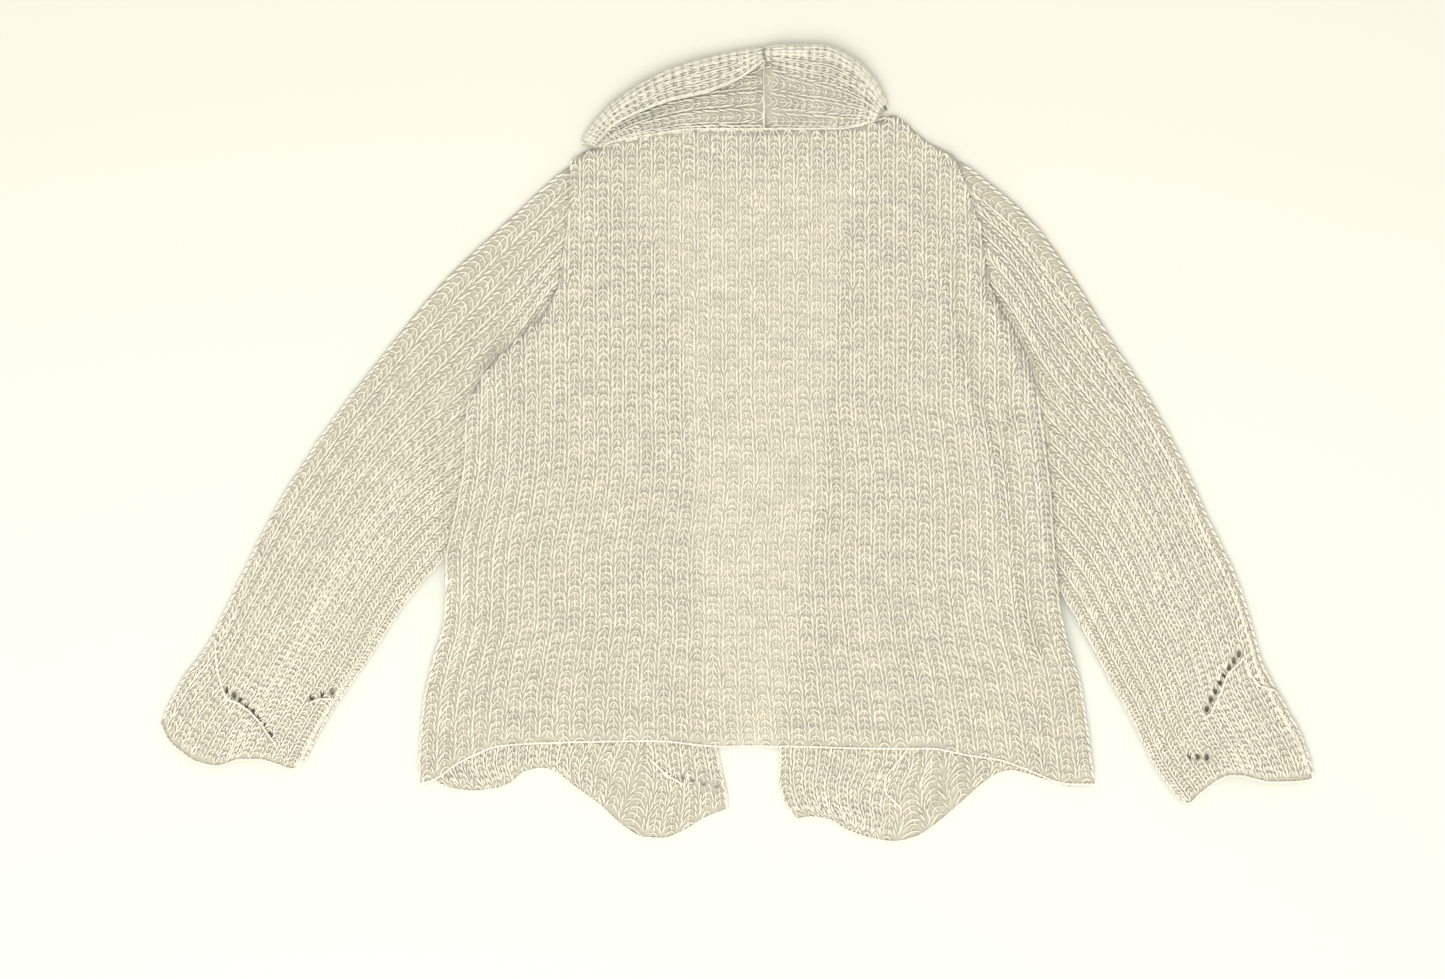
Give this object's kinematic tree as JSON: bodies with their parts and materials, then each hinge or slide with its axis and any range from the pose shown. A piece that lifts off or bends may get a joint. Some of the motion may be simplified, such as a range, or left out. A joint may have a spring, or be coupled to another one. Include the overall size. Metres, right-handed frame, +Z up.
{
  "type": "open-front knitted cardigan with a shawl collar, laid flat",
  "caption": "Long-sleeved knitted cardigan with open V front, folded shawl collar and leaf-shaped hems, lying face down on a flat surface.",
  "frame": {"origin": "middle of the underside, on the surface that the garment lies on", "axes": "+X across the garment from sleeve to sleeve, +Y towards the neck, +Z up from the surface"},
  "size_m": [1.07, 0.74, 0.0191],
  "materials": {
    "knit": "fuzzy marled wool-blend rib knit"
  },
  "bodies": {
    "root": {"back": "knit", "front_left": "knit", "front_right": "knit", "sleeve_left_back": "knit", "sleeve_left_front": "knit", "sleeve_right_back": "knit", "sleeve_right_front": "knit", "collar_left": "knit", "collar_right": "knit"}
  },
  "joints": []
}
